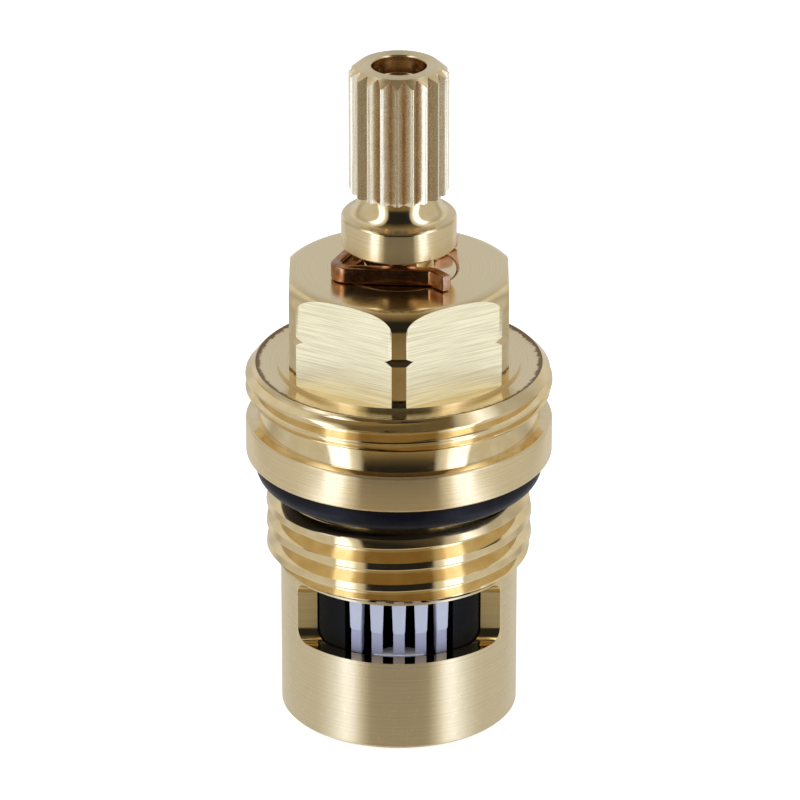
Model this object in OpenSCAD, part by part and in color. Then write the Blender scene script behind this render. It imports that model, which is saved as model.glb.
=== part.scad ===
// Quarter-turn ceramic disc tap cartridge with a splined spindle, shown open.
// The origin is the centre of the seat seal's underside, +Z runs up the spindle's axis
// and -Y faces one of the two outlet windows. Turning the spindle clockwise closes it.

/* [Skirt and lower thread] */
// Outside diameter of the skirt
skirt_d = 18.6; // [18.2:0.1:19.2]
// Wall of the skirt
skirt_wall = 1.25; // [1.1:0.05:1.5]
// Chamfer round the foot of the skirt
skirt_chamfer = 0.25; // [0.1:0.05:0.5]
// Outside diameter of the lower thread, which screws into the tap
tap_thread_d = 20.8; // [20.2:0.1:21.4]
// Length of the lower thread
tap_thread_h = 5.9; // [5:0.1:7]
// Chamfer at both ends of the lower thread
tap_thread_chamfer = 0.7; // [0.4:0.1:1]

/* [Flange and upper thread] */
// Diameter of the neck that carries the sealing ring under the flange
neck_d = 17.9; // [17.4:0.1:18.4]
// Length of that neck
neck_h = 2.9; // [2.6:0.1:3.4]
// Section of the sealing ring under the flange
body_ring_section = 2.2; // [1.8:0.1:2.4]
// Diameter of the flange
flange_d = 23.9; // [23.4:0.1:25]
// Thickness of the flange
flange_h = 2.95; // [2.4:0.05:3.6]
// Edge break on the flange
flange_chamfer = 0.15; // [0.1:0.05:0.4]
// Diameter of the thread relief above the flange
relief_d = 22; // [21.4:0.1:22.6]
// Length of the thread relief
relief_h = 1.95; // [1.5:0.05:2.4]
// Outside diameter of the upper thread, which takes the cover sleeve
sleeve_thread_d = 23.9; // [23.4:0.1:25]
// Length of the upper thread
sleeve_thread_h = 2.6; // [2.2:0.1:3.4]
// Chamfer at the foot of the upper thread
sleeve_thread_chamfer = 0.5; // [0.3:0.1:0.8]
// Chamfer at the top of the upper thread
sleeve_top_chamfer = 0.75; // [0.5:0.05:0.9]

/* [Hexagon] */
// Width across the flats
hex_af = 16.9; // [16.5:0.1:17.4]
// Turned diameter across the hexagon's corners
hex_d = 18.9; // [18.6:0.1:19.1]
// Height of the hexagon
hex_h = 7.8; // [7:0.1:9]
// Height of the round base left under the flats
hex_base_h = 0.15; // [0.1:0.05:0.4]
// Radius of the rounded edge round the top face
hex_round = 1.45; // [1.3:0.05:1.7]
// Height of the marking groove above the hexagon's base
hex_groove_z = 3.9; // [3:0.1:4.8]
// Width of the marking groove
hex_groove_w = 0.65; // [0.4:0.05:0.9]
// Depth of the marking groove
hex_groove_depth = 0.24; // [0.1:0.02:0.3]

/* [Outlet windows] */
// Height of each window
window_h = 5.05; // [4.6:0.05:5.5]
// Distance from the axis to the flat walls beside each window
window_wall = 4.9; // [4.6:0.1:5.2]
// Radius between those walls and the sill or lintel
window_corner_r = 1; // [0.6:0.1:1.4]
// Height of the sill above the floor of the water chamber
sill_step = 0.1; // [0.05:0.05:0.3]
// Height of solid skirt between the window and the lower thread
window_land = 0.4; // [0.3:0.1:1]

/* [Seat seal and discs] */
// Height of the seat seal
seal_h = 2.6; // [2.2:0.1:3]
// How far the seal stands out below the skirt
seal_proud = 0.6; // [0.4:0.1:1]
// Radial width of the seal
seal_w = 2.35; // [2.1:0.05:2.6]
// Wall of the stiffening ring inside the seal
support_wall = 0.7; // [0.5:0.1:1]
// Height of the stiffening ring's foot above the seal's underside
support_z = 1; // [0.8:0.1:1.4]
// Thickness of the fixed disc
fixed_disc_h = 2.6; // [2.2:0.1:3]
// Thickness of the moving disc
moving_disc_h = 2.2; // [2:0.1:2.8]
// Angle of each opening in the discs
disc_port_angle = 78; // [68:1:84]
// Inner radius of the openings in the discs
disc_port_r0 = 1.6; // [1.2:0.1:2]
// Width of the fixed disc's two tabs
disc_tab_w = 3; // [2.4:0.1:3.6]
// How far the tabs reach into the skirt's wall
disc_tab_depth = 0.65; // [0.4:0.05:0.8]
// Width of the two notches that turn the moving disc
disc_notch_w = 2; // [1.6:0.1:2.6]
// Depth of those notches
disc_notch_depth = 1.1; // [0.8:0.1:1.4]

/* [Carrier and silencer] */
// Wall of the carrier round the water chamber
carrier_wall = 1.2; // [1:0.05:1.3]
// Wall of the carrier round the moving disc
carrier_skirt_wall = 0.65; // [0.5:0.05:0.8]
// Thickness of the carrier's floor above the moving disc
carrier_floor_h = 0.55; // [0.4:0.05:1]
// Thickness of the web that parts the two outlets
carrier_web = 2; // [1.6:0.1:2.6]
// Thickness of the carrier's roof
carrier_roof_h = 2; // [1.8:0.1:2.6]
// How far the chamber's ceiling lies above the window
ceiling_step = 0.25; // [0.1:0.05:0.5]
// Half the angle of the carrier's outlet ports
port_half_angle = 32; // [31.5:0.5:34]
// Number of bars across each port
bar_count = 5; // [3:2:5]
// Angle from bar to bar
bar_pitch = 12.6; // [12:0.1:13.2]
// Width of a bar at its top
bar_top_w = 1.14; // [1:0.02:1.2]
// Width of a bar at the step
bar_mid_w = 0.94; // [0.9:0.02:1.1]
// Width of a bar below the step
bar_low_w = 0.88; // [0.7:0.02:1]
// Height of the step above the chamber's floor
bar_step_z = 2; // [1.5:0.05:2.4]
// How far the lower part of a bar is set back
bar_setback = 0.1; // [0.05:0.05:0.3]
// Radial thickness of the bars
bar_depth = 1; // [0.8:0.05:1.1]
// Radius of the half-round foot of the middle bars
comb_foot_r = 2.1; // [1.8:0.1:2.4]
// How far the centre of that foot lies in front of the bars
comb_foot_out = 0.45; // [0.2:0.05:0.6]
// Thickness of that foot
comb_foot_h = 0.18; // [0.12:0.02:0.3]
// Height of the header that joins the bars above the window
comb_header_h = 0.6; // [0.5:0.05:0.7]

/* [Spindle] */
// Diameter of the spindle's shank and collar
stem_d = 8.9; // [8.5:0.1:9.2]
// Diameter of the groove floor under the collar
stem_neck_d = 5.4; // [5.2:0.1:5.8]
// Height of the groove under the collar
clip_groove_h = 2.05; // [1.9:0.05:2.3]
// Height of the collar
collar_h = 2.55; // [2:0.05:3]
// Height of the slim throat from the collar up to the spline
throat_h = 1.95; // [1.7:0.05:2.3]
// Height of the hollow curve between the collar's edge and the throat
throat_curve_h = 1.5; // [1.2:0.05:1.7]
// Number of teeth on the spline
spline_teeth = 20; // [16:1:24]
// Outside diameter of the spline
spline_d = 7.7; // [7.5:0.1:8]
// Diameter at the bottom of the spline's teeth
spline_root_d = 6.46; // [6.3:0.02:6.6]
// Length of the spline
spline_h = 10.2; // [9:0.1:12]
// Width of a tooth's crest
spline_crest_w = 0.16; // [0.1:0.02:0.3]
// Radial size of the chamfer at the spline's top
spline_top_chamfer = 0.72; // [0.5:0.02:0.8]
// Radial size of the chamfer at the spline's foot
spline_foot_chamfer = 0.12; // [0.1:0.02:0.3]
// Turn of the spline about its axis
spline_turn = 2.3; // [-9:0.1:9]
// Diameter of the screw hole for the handle
screw_hole_d = 4.2; // [3.8:0.1:4.4]
// Depth of the screw hole
screw_hole_h = 11; // [8:0.5:12]
// Section of the two stem sealing rings
stem_ring_section = 1.5; // [1.3:0.1:1.7]
// Depth of the upper stem ring below the hexagon's top
stem_ring_depth = 5; // [4:0.1:6]
// Distance between the two stem rings
stem_ring_pitch = 4.6; // [4:0.1:5]

/* [Drive and stops] */
// Thickness of the drive flange at the spindle's foot
drive_flange_h = 2.4; // [2:0.1:3]
// Width of the dog that turns the carrier
dog_w = 4; // [3.4:0.1:4.6]
// Height of the dog
dog_h = 1.4; // [1.1:0.1:1.5]
// Thickness of the thrust washer
washer_h = 0.7; // [0.5:0.05:1]
// Radial width of the thrust washer
washer_w = 1.6; // [1.4:0.05:1.8]
// Angle of each stop rib in the body
stop_angle = 30; // [24:1:36]
// Turn from open to closed
turn = 90; // [84:1:90]

/* [Retaining clip] */
// Width of the clip's wire
clip_w = 0.9; // [0.8:0.05:1]
// Height of the clip's wire
clip_h = 1.3; // [1.1:0.05:1.4]
// Reach of the clip's closed end from the axis
clip_reach = 5.1; // [4.9:0.05:5.5]
// Inside radius of the clip's bends
clip_bend_r = 0.5; // [0.3:0.05:0.6]
// Slope of the closed end, from the front arm back to the shorter rear arm
clip_slope = 19; // [14:1:22]
// Angle of the flared tips
clip_flare = 48; // [30:1:55]
// Length of the straight tips
clip_tip = 1.3; // [1:0.1:1.6]
// Distance from the axis to the bend of the tips
clip_arm = 2.4; // [2:0.1:2.6]
// Turn of the clip about the spindle's axis
clip_turn = -4; // [-10:1:10]

/* [Clearances] */
// Radial clearance of the spindle in the body
stem_gap = 0.05; // [0.03:0.01:0.1]
// Radial clearance of the carrier in the skirt
carrier_gap = 0.1; // [0.05:0.01:0.15]
// Clearance round inserted pieces
insert_gap = 0.1; // [0.05:0.01:0.15]
// Clearance of the sealing rings at their running faces
ring_gap = 0.05; // [0.02:0.01:0.08]
// Water film between the two discs
disc_film = 0.02; // [0.01:0.01:0.05]
// Axial clearance above the thrust washer
thrust_gap = 0.05; // [0.03:0.01:0.1]
// Axial clearance between neighbours that turn together
axial_gap = 0.25; // [0.15:0.05:0.4]
// Clearance under the clip
clip_gap = 0.05; // [0.03:0.01:0.15]
// Angle left over at each stop
stop_slack = 0.5; // [0.3:0.1:1]

/* [Hidden] */
$fn = 96;
eps = 0.01;
overrun = 2;
arc_steps = 8;

bore_r = skirt_d / 2 - skirt_wall;
stem_r = stem_d / 2;
stem_bore_r = stem_r + stem_gap;

// Heights up the inside of the body
disc_z = seal_h;
film_z = disc_z + fixed_disc_h;
moving_z = film_z + disc_film;
pocket_z = moving_z + moving_disc_h;
chamber_z = pocket_z + carrier_floor_h;
sill_z = chamber_z + sill_step;
lintel_z = sill_z + window_h;
ceiling_z = lintel_z + ceiling_step;
carrier_top_z = ceiling_z + carrier_roof_h;
drive_z = carrier_top_z + axial_gap;
washer_z = drive_z + drive_flange_h;
shoulder_z = washer_z + washer_h + thrust_gap;

// Heights up the outside of the body
tap_thread_z = lintel_z + window_land;
neck_z = tap_thread_z + tap_thread_h;
flange_z = neck_z + neck_h;
relief_z = flange_z + flange_h;
sleeve_thread_z = relief_z + relief_h;
hex_z = sleeve_thread_z + sleeve_thread_h;
top_z = hex_z + hex_h;

// Heights up the spindle
clip_z = top_z + clip_gap;
collar_z = top_z + clip_groove_h;
fillet_z = collar_z + collar_h;
spline_z = fillet_z + throat_h;
tip_z = spline_z + spline_h;
ring_upper_z = top_z - stem_ring_depth;
ring_lower_z = ring_upper_z - stem_ring_pitch;

carrier_r = bore_r - carrier_gap;
chamber_r = carrier_r - carrier_wall;
pocket_r = carrier_r - carrier_skirt_wall;
moving_disc_r = pocket_r - insert_gap;
fixed_disc_r = bore_r - insert_gap;
seal_r = bore_r - insert_gap;
seal_hole_r = seal_r - seal_w;
support_r = seal_hole_r - ring_gap;
disc_port_r1 = support_r - support_wall - ring_gap;
drive_core_r = stem_r + insert_gap + washer_w;
stop_r = drive_core_r + insert_gap;
drive_lobe_r = bore_r - insert_gap;
lobe_angle = 180 - stop_angle - turn - 2 * stop_slack;
stem_groove_r = stem_bore_r - stem_ring_section - 2 * ring_gap;
stem_groove_h = stem_ring_section + 2 * ring_gap;

// Bend centres of the clip, with its mouth towards +X
clip_bend = clip_bend_r + clip_w / 2;
clip_arm_y = stem_neck_d / 2 + ring_gap + clip_w / 2;
clip_side_y = clip_arm_y - clip_bend;
clip_front_at = [-clip_reach + clip_w / 2 + clip_bend, -clip_side_y];
clip_rear_at = clip_front_at + 2 * clip_side_y * [tan(clip_slope), 1];
clip_flare_at = [clip_arm, -clip_arm_y - clip_bend];

// Points along an arc, from one angle to another
function arc(centre, r, from, to) = [
    for (step = [0 : arc_steps])
        let (angle = from + (to - from) * step / arc_steps)
        centre + r * [cos(angle), sin(angle)]
];

// Flat wedge that opens towards -Y from the axis
module wedge(half_angle, reach) {
    polygon([
        [0, 0],
        [-reach * tan(half_angle), -reach],
        [reach * tan(half_angle), -reach]
    ]);
}

// Ring between two radii and two heights
module ring(r0, r1, z0, z1) {
    translate([0, 0, z0])
        difference() {
            cylinder(r = r1, h = z1 - z0);
            translate([0, 0, -overrun])
                cylinder(r = r0, h = z1 - z0 + 2 * overrun);
        }
}

// Two opposed sectors of a ring, from one angle to another
module sector_pair(r0, r1, z0, z1, from, to) {
    for (turn_by = [0, 180])
        rotate([0, 0, turn_by + from])
            rotate_extrude(angle = to - from)
                translate([r0, z0])
                    square([r1 - r0, z1 - z0]);
}

// Round ring seal lying flat, from its inner radius and its section
module o_ring(inner_r, section, z) {
    translate([0, 0, z])
        rotate_extrude()
            translate([inner_r + section / 2, 0])
                circle(d = section);
}

// Turned outside of the body, up to the round boss that the hexagon is milled from
module body_turning() {
    skirt_r = skirt_d / 2;
    tap_r = tap_thread_d / 2;
    neck_r = neck_d / 2;
    flange_r = flange_d / 2;
    relief_r = relief_d / 2;
    sleeve_r = sleeve_thread_d / 2;
    corner_r = hex_d / 2;
    groove_z = hex_z + hex_groove_z;
    rotate_extrude()
        polygon(concat(
            [
                [0, seal_proud],
                [skirt_r - skirt_chamfer, seal_proud],
                [skirt_r, seal_proud + skirt_chamfer],
                [skirt_r, tap_thread_z],
                [tap_r - tap_thread_chamfer, tap_thread_z],
                [tap_r, tap_thread_z + tap_thread_chamfer],
                [tap_r, neck_z - tap_thread_chamfer],
                [tap_r - tap_thread_chamfer, neck_z],
                [neck_r, neck_z],
                [neck_r, flange_z],
                [flange_r - flange_chamfer, flange_z],
                [flange_r, flange_z + flange_chamfer],
                [flange_r, relief_z - flange_chamfer],
                [flange_r - flange_chamfer, relief_z],
                [relief_r, relief_z],
                [relief_r, sleeve_thread_z],
                [sleeve_r - sleeve_thread_chamfer, sleeve_thread_z],
                [sleeve_r, sleeve_thread_z + sleeve_thread_chamfer],
                [sleeve_r, hex_z - sleeve_top_chamfer],
                [sleeve_r - sleeve_top_chamfer, hex_z],
                [corner_r, hex_z],
                [corner_r, groove_z - hex_groove_w / 2],
                [corner_r - hex_groove_depth, groove_z],
                [corner_r, groove_z + hex_groove_w / 2]
            ],
            arc([corner_r - hex_round, top_z - hex_round], hex_round, 0, 90),
            [[0, top_z]]
        ));
}

// What milling takes off the round boss to leave the hexagon, a little above its base
module hex_cut() {
    translate([0, 0, hex_z + hex_base_h])
        difference() {
            cylinder(r = flange_d / 2, h = hex_h);
            translate([0, 0, -overrun])
                rotate([0, 0, 30])
                    cylinder(r = hex_af / 2 / cos(30), h = hex_h + 2 * overrun, $fn = 6);
        }
}

// Bored inside of the body: skirt bore, shoulder and stem bore
module body_bore() {
    mouth = stem_gap * 3;
    rotate_extrude()
        polygon([
            [0, -overrun],
            [bore_r + skirt_chamfer, -overrun],
            [bore_r + skirt_chamfer, seal_proud],
            [bore_r, seal_proud + skirt_chamfer],
            [bore_r, shoulder_z],
            [stem_bore_r, shoulder_z],
            [stem_bore_r, top_z - mouth],
            [stem_bore_r + mouth, top_z],
            [stem_bore_r + mouth, top_z + overrun],
            [0, top_z + overrun]
        ]);
}

// Outlet window that faces -Y: a straight slot across the skirt, rounded where it meets its flat rear wall
module window() {
    reach = flange_d / 2;
    bend_y = -window_wall - window_corner_r;
    translate([-reach, 0, sill_z])
        rotate([90, 0, 90])
            linear_extrude(height = 2 * reach)
                polygon(concat(
                    [[-reach, 0]],
                    arc([bend_y, window_corner_r], window_corner_r, 270, 360),
                    arc([bend_y, window_h - window_corner_r], window_corner_r, 0, 90),
                    [[-reach, window_h]]
                ));
}

// Brass body: skirt with windows, two threads, flange, hexagon and inner stops
module body() {
    color("#c9b074")
        union() {
            difference() {
                body_turning();
                hex_cut();
                body_bore();
                for (turn_by = [0, 180])
                    rotate([0, 0, turn_by])
                        window();
                disc_tab_shape(insert_gap, seal_proud - overrun, film_z + axial_gap);
            }
            sector_pair(stop_r, bore_r + eps, drive_z, shoulder_z + eps, -stop_angle / 2, stop_angle / 2);
        }
}

// Two tabs across the skirt's bore, with a clearance all round for their grooves
module disc_tab_shape(gap, z0, z1) {
    reach = bore_r + disc_tab_depth + gap;
    width = disc_tab_w + 2 * gap;
    intersection() {
        translate([-reach, -width / 2, z0])
            cube([2 * reach, width, z1 - z0]);
        translate([0, 0, z0])
            cylinder(r = reach, h = z1 - z0);
    }
}

// Sealing ring under the flange
module body_o_ring() {
    color("#16161d")
        o_ring(neck_d / 2 + ring_gap, body_ring_section, flange_z - body_ring_section / 2);
}

// Rubber seal that presses on the seat in the tap
module seat_seal() {
    lip = seal_proud / 2;
    color("#17171b")
        rotate_extrude()
            polygon([
                [seal_hole_r, lip],
                [seal_hole_r + lip, 0],
                [seal_r - 2 * lip, 0],
                [seal_r - lip, lip],
                [seal_r - lip, seal_proud + lip],
                [seal_r, seal_proud + 2 * lip],
                [seal_r, seal_h],
                [seal_hole_r, seal_h]
            ]);
}

// Stiff ring that keeps the seal from closing in
module seal_support_ring() {
    color("#d6d3c8")
        ring(support_r - support_wall, support_r, support_z, seal_h);
}

// Two opposed water openings through a disc
module disc_openings(z0, z1) {
    sector_pair(
        disc_port_r0, disc_port_r1, z0 - overrun, z1 + overrun,
        90 - disc_port_angle / 2, 90 + disc_port_angle / 2
    );
}

// Lower ceramic disc, held by its tabs in the skirt
module fixed_disc() {
    color("#ece8dd")
        difference() {
            union() {
                ring(0, fixed_disc_r, disc_z, film_z);
                disc_tab_shape(0, disc_z, film_z);
            }
            disc_openings(disc_z, film_z);
        }
}

// Drive lugs or notches at the rim of the moving disc
module drive_notches(gap, z0, z1) {
    inner_r = moving_disc_r - disc_notch_depth + gap;
    width = disc_notch_w - 2 * gap;
    for (turn_by = [0, 180])
        rotate([0, 0, turn_by])
            translate([inner_r, -width / 2, z0])
                cube([carrier_r - carrier_skirt_wall / 2 - inner_r, width, z1 - z0]);
}

// Upper ceramic disc, turned by the carrier
module moving_disc() {
    color("#f3f0e7")
        difference() {
            ring(0, moving_disc_r, moving_z, pocket_z);
            disc_openings(moving_z, pocket_z);
            drive_notches(0, moving_z - overrun, pocket_z + overrun);
        }
}

// Black carrier: pocket for the moving disc, water chamber with two ports, drive slot on top
module disc_carrier() {
    slot_w = dog_w + 2 * insert_gap;
    color("#1c1c20")
        difference() {
            union() {
                difference() {
                    ring(0, carrier_r, moving_z + axial_gap, carrier_top_z);
                    translate([0, 0, moving_z - overrun])
                        cylinder(r = pocket_r, h = pocket_z - moving_z + overrun);
                }
                drive_notches(insert_gap, moving_z + axial_gap, pocket_z + eps);
            }
            disc_openings(pocket_z, chamber_z);
            difference() {
                union() {
                    translate([0, 0, chamber_z])
                        cylinder(r = chamber_r, h = ceiling_z - chamber_z);
                    for (turn_by = [0, 180])
                        rotate([0, 0, turn_by])
                            translate([0, 0, chamber_z])
                                linear_extrude(height = ceiling_z - chamber_z)
                                    wedge(port_half_angle, skirt_d);
                }
                translate([-carrier_r, -carrier_web / 2, chamber_z - overrun])
                    cube([2 * carrier_r, carrier_web, ceiling_z - chamber_z + 2 * overrun]);
            }
            translate([-skirt_d / 2, -slot_w / 2, carrier_top_z - dog_h])
                cube([skirt_d, slot_w, dog_h + overrun]);
        }
}

// One bar of the silencer, standing at -Y
module comb_bar() {
    bar_h = ceiling_z - insert_gap - chamber_z;
    inner_share = 0.6;
    translate([0, 0, chamber_z]) {
        intersection() {
            translate([0, bar_depth - carrier_r, 0])
                rotate([90, 0, 0])
                    linear_extrude(height = bar_depth)
                        polygon([
                            [-bar_mid_w / 2, bar_step_z],
                            [bar_mid_w / 2, bar_step_z],
                            [bar_top_w / 2, bar_h],
                            [-bar_top_w / 2, bar_h]
                        ]);
            linear_extrude(height = bar_h)
                polygon([
                    [-bar_top_w / 2, -carrier_r],
                    [bar_top_w / 2, -carrier_r],
                    [bar_top_w / 2 * inner_share, bar_depth - carrier_r],
                    [-bar_top_w / 2 * inner_share, bar_depth - carrier_r]
                ]);
        }
        linear_extrude(height = bar_step_z + eps)
            polygon([
                [-bar_low_w / 2, bar_setback - carrier_r],
                [bar_low_w / 2, bar_setback - carrier_r],
                [bar_low_w / 2 * inner_share, bar_depth - carrier_r],
                [-bar_low_w / 2 * inner_share, bar_depth - carrier_r]
            ]);
    }
}

// White silencer insert at -Y: a comb of bars under one header, the middle bars on a half-round foot
module silencer_comb() {
    header_z1 = ceiling_z - insert_gap;
    header_depth = bar_depth + insert_gap;
    middle = (bar_count - 1) / 2;
    header_half = middle * bar_pitch + asin(bar_top_w / 2 / carrier_r);
    color("#c6c9e4") {
        rotate([0, 0, 270 - header_half])
            rotate_extrude(angle = 2 * header_half)
                translate([carrier_r - header_depth, header_z1 - comb_header_h])
                    square([header_depth - bar_setback, comb_header_h]);
        for (index = [-middle : middle])
            rotate([0, 0, index * bar_pitch])
                comb_bar();
        intersection() {
            translate([0, -carrier_r - comb_foot_out, chamber_z])
                cylinder(r = comb_foot_r, h = comb_foot_h);
            translate([0, 0, chamber_z])
                cylinder(r = carrier_r, h = comb_foot_h);
        }
    }
}

// Silencer insert in the front port
module silencer_comb_front() {
    silencer_comb();
}

// Silencer insert in the rear port
module silencer_comb_rear() {
    rotate([0, 0, 180])
        silencer_comb();
}

// Slippery washer between the spindle's flange and the body's shoulder
module thrust_washer() {
    color("#e6e2d4")
        ring(stem_r + insert_gap, drive_core_r, washer_z, washer_z + washer_h);
}

// Serrated outline of the spline
module spline_outline() {
    crest_r = spline_d / 2;
    root_r = spline_root_d / 2;
    pitch = 360 / spline_teeth;
    crest_half = asin(spline_crest_w / 2 / crest_r);
    polygon([
        for (tooth = [0 : spline_teeth - 1], corner = [0 : 2])
            let (
                angle = tooth * pitch + [-crest_half, crest_half, pitch / 2][corner],
                r = corner == 2 ? root_r : crest_r
            )
            [r * cos(angle), r * sin(angle)]
    ]);
}

// Splined end for the handle, chamfered at both ends
module spline() {
    crest_r = spline_d / 2;
    top_slope = 0.83;
    intersection() {
        translate([0, 0, spline_z])
            rotate([0, 0, -90 - spline_turn])
                linear_extrude(height = spline_h)
                    spline_outline();
        rotate_extrude()
            polygon([
                [0, spline_z - overrun],
                [crest_r - spline_foot_chamfer - overrun, spline_z - overrun],
                [crest_r - spline_foot_chamfer, spline_z],
                [crest_r + eps, spline_z + spline_foot_chamfer + eps],
                [crest_r + eps, tip_z - spline_top_chamfer * top_slope],
                [crest_r - spline_top_chamfer, tip_z],
                [crest_r - spline_top_chamfer, tip_z + overrun],
                [0, tip_z + overrun]
            ]);
    }
}

// Turned shank, ring grooves, clip groove, collar and the rounded throat under the spline
module spindle_turning() {
    neck_r = stem_neck_d / 2;
    throat_r = spline_root_d / 2 - ring_gap;
    edge = flange_chamfer;
    groove_half = stem_groove_h / 2;
    curve = [
        for (step = [1 : arc_steps])
            let (sweep = 90 * step / arc_steps)
            [
                throat_r + (stem_r - edge - throat_r) * (1 - sin(sweep)),
                fillet_z + throat_curve_h * (1 - cos(sweep))
            ]
    ];
    rotate_extrude()
        polygon(concat(
            [
                [0, drive_z],
                [drive_core_r, drive_z],
                [drive_core_r, washer_z],
                [stem_r, washer_z]
            ],
            [
                for (centre_z = [ring_lower_z, ring_upper_z], corner = [0 : 3])
                    [
                        corner == 0 || corner == 3 ? stem_r : stem_groove_r,
                        centre_z + (corner < 2 ? -groove_half : groove_half)
                    ]
            ],
            [
                [stem_r, top_z - clip_gap],
                [neck_r, top_z - clip_gap],
                [neck_r, collar_z],
                [stem_r - edge, collar_z],
                [stem_r, collar_z + edge],
                [stem_r, fillet_z - edge],
                [stem_r - edge, fillet_z]
            ],
            curve,
            [
                [throat_r, spline_z + spline_foot_chamfer],
                [0, spline_z + spline_foot_chamfer]
            ]
        ));
}

// Brass spindle: spline and screw hole above, drive flange with stop lobes and dog below
module spindle() {
    lobe_end = 180 - stop_angle / 2 - stop_slack;
    dog_reach = drive_core_r - 2 * insert_gap;
    dog_z = drive_z - dog_h;
    color("#c4aa6c")
        difference() {
            union() {
                spindle_turning();
                spline();
                sector_pair(
                    drive_core_r - insert_gap, drive_lobe_r, drive_z + insert_gap, washer_z - insert_gap,
                    lobe_end - lobe_angle, lobe_end
                );
                intersection() {
                    translate([-dog_reach, -dog_w / 2, dog_z])
                        cube([2 * dog_reach, dog_w, dog_h + eps]);
                    translate([0, 0, dog_z - overrun])
                        cylinder(r = dog_reach, h = dog_h + 2 * overrun);
                }
            }
            translate([0, 0, tip_z - screw_hole_h])
                cylinder(d = screw_hole_d, h = screw_hole_h + overrun);
        }
}

// Lower sealing ring on the stem
module stem_o_ring_lower() {
    color("#16161d")
        o_ring(stem_groove_r + ring_gap, stem_ring_section, ring_lower_z);
}

// Upper sealing ring on the stem
module stem_o_ring_upper() {
    color("#16161d")
        o_ring(stem_groove_r + ring_gap, stem_ring_section, ring_upper_z);
}

// One edge of the front tip, a distance to the left of the wire's centre line, from its end to the arm
function clip_tip_edge(aside) = concat(
    [
        clip_flare_at
        + (clip_bend - aside) * [sin(clip_flare), cos(clip_flare)]
        + clip_tip * [cos(clip_flare), -sin(clip_flare)]
    ],
    arc(clip_flare_at, clip_bend - aside, 90 - clip_flare, 90)
);

// Points in reverse order, and points mirrored from the front to the rear
function reversed(points) = [for (index = [len(points) - 1 : -1 : 0]) points[index]];
function mirrored(points) = [for (point = points) [point[0], -point[1]]];

// One edge of the whole clip, from the front tip round the closed end to the rear tip
function clip_edge(aside) = concat(
    clip_tip_edge(aside),
    arc(clip_front_at, clip_bend + aside, 270, 180 - clip_slope),
    arc(clip_rear_at, clip_bend + aside, 180 - clip_slope, 90),
    mirrored(reversed(clip_tip_edge(aside)))
);

// Spring clip of bent wire: it grips the neck between two arms whose tips flare apart
module retaining_clip() {
    color("#8a4a28")
        translate([0, 0, clip_z])
            rotate([0, 0, clip_turn])
                linear_extrude(height = clip_h)
                    polygon(concat(clip_edge(clip_w / 2), reversed(clip_edge(-clip_w / 2))));
}

body();
body_o_ring();
seat_seal();
seal_support_ring();
fixed_disc();
moving_disc();
disc_carrier();
silencer_comb_front();
silencer_comb_rear();
thrust_washer();
spindle();
stem_o_ring_lower();
stem_o_ring_upper();
retaining_clip();
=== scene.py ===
import math

import bmesh
import bpy
import numpy as np
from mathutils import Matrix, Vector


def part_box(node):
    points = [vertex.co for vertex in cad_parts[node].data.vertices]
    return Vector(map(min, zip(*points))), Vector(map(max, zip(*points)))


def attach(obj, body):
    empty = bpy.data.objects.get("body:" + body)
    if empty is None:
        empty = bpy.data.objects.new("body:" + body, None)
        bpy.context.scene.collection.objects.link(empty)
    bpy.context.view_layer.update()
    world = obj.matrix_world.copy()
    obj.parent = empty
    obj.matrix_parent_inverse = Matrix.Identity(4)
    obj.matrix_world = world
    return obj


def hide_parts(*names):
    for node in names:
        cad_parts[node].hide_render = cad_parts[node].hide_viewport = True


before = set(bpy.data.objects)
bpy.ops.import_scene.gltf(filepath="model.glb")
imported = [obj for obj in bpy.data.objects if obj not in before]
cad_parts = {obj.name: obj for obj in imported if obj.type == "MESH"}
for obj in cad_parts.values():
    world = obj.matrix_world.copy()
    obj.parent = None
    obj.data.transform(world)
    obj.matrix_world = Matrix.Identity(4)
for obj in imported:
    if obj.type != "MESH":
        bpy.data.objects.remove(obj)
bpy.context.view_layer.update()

# Lengths are in millimetres until a mesh is made. Azimuth 0 faces the camera at -Y and grows towards +X.
MM = 0.001
TURN = 2 * math.pi

# Rounding of turned corners, overlap of joined solids, and tolerance on where a face lies
EASE = 0.05
LAP = 0.1
NEAR = 0.01

# Angle from which an edge is shaded sharp, and the distance in metres under which points are welded
SHARP = math.radians(24)
WELD = 1e-7


def low(node):
    """Lowest height of a CAD node, in millimetres."""
    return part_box(node)[0][2] / MM


def high(node):
    """Highest height of a CAD node, in millimetres."""
    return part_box(node)[1][2] / MM


# Radii of the turned body
SKIRT_R = 9.3
BORE_R = 8.05
TAP_R = 10.4
NECK_R = 8.95
FLANGE_R = 11.945
RELIEF_R = 11.0
SLEEVE_R = 11.945
STEM_BORE_R = 4.5
BORE_MOUTH = 0.15
SKIRT_EDGE = 0.25
FLANGE_EDGE = 0.15

# Columns of the body's mesh, and the least angle between one and a hexagon corner's edge
COLUMNS = 360
COLUMN_GAP = 0.004

# Heights of the body
FOOT_Z = low("body")
SILL_Z = 8.07
LINTEL_Z = 13.12
TAP_Z = 13.52
NECK_Z = 19.42
FLANGE_Z = high("body_o_ring")
RELIEF_Z = 25.27
SLEEVE_Z = 27.22
HEX_Z = 29.82
TOP_Z = high("body")
SHOULDER_Z = 18.77
DRIVE_Z = 15.62
WASHER_Z = low("thrust_washer")

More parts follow.
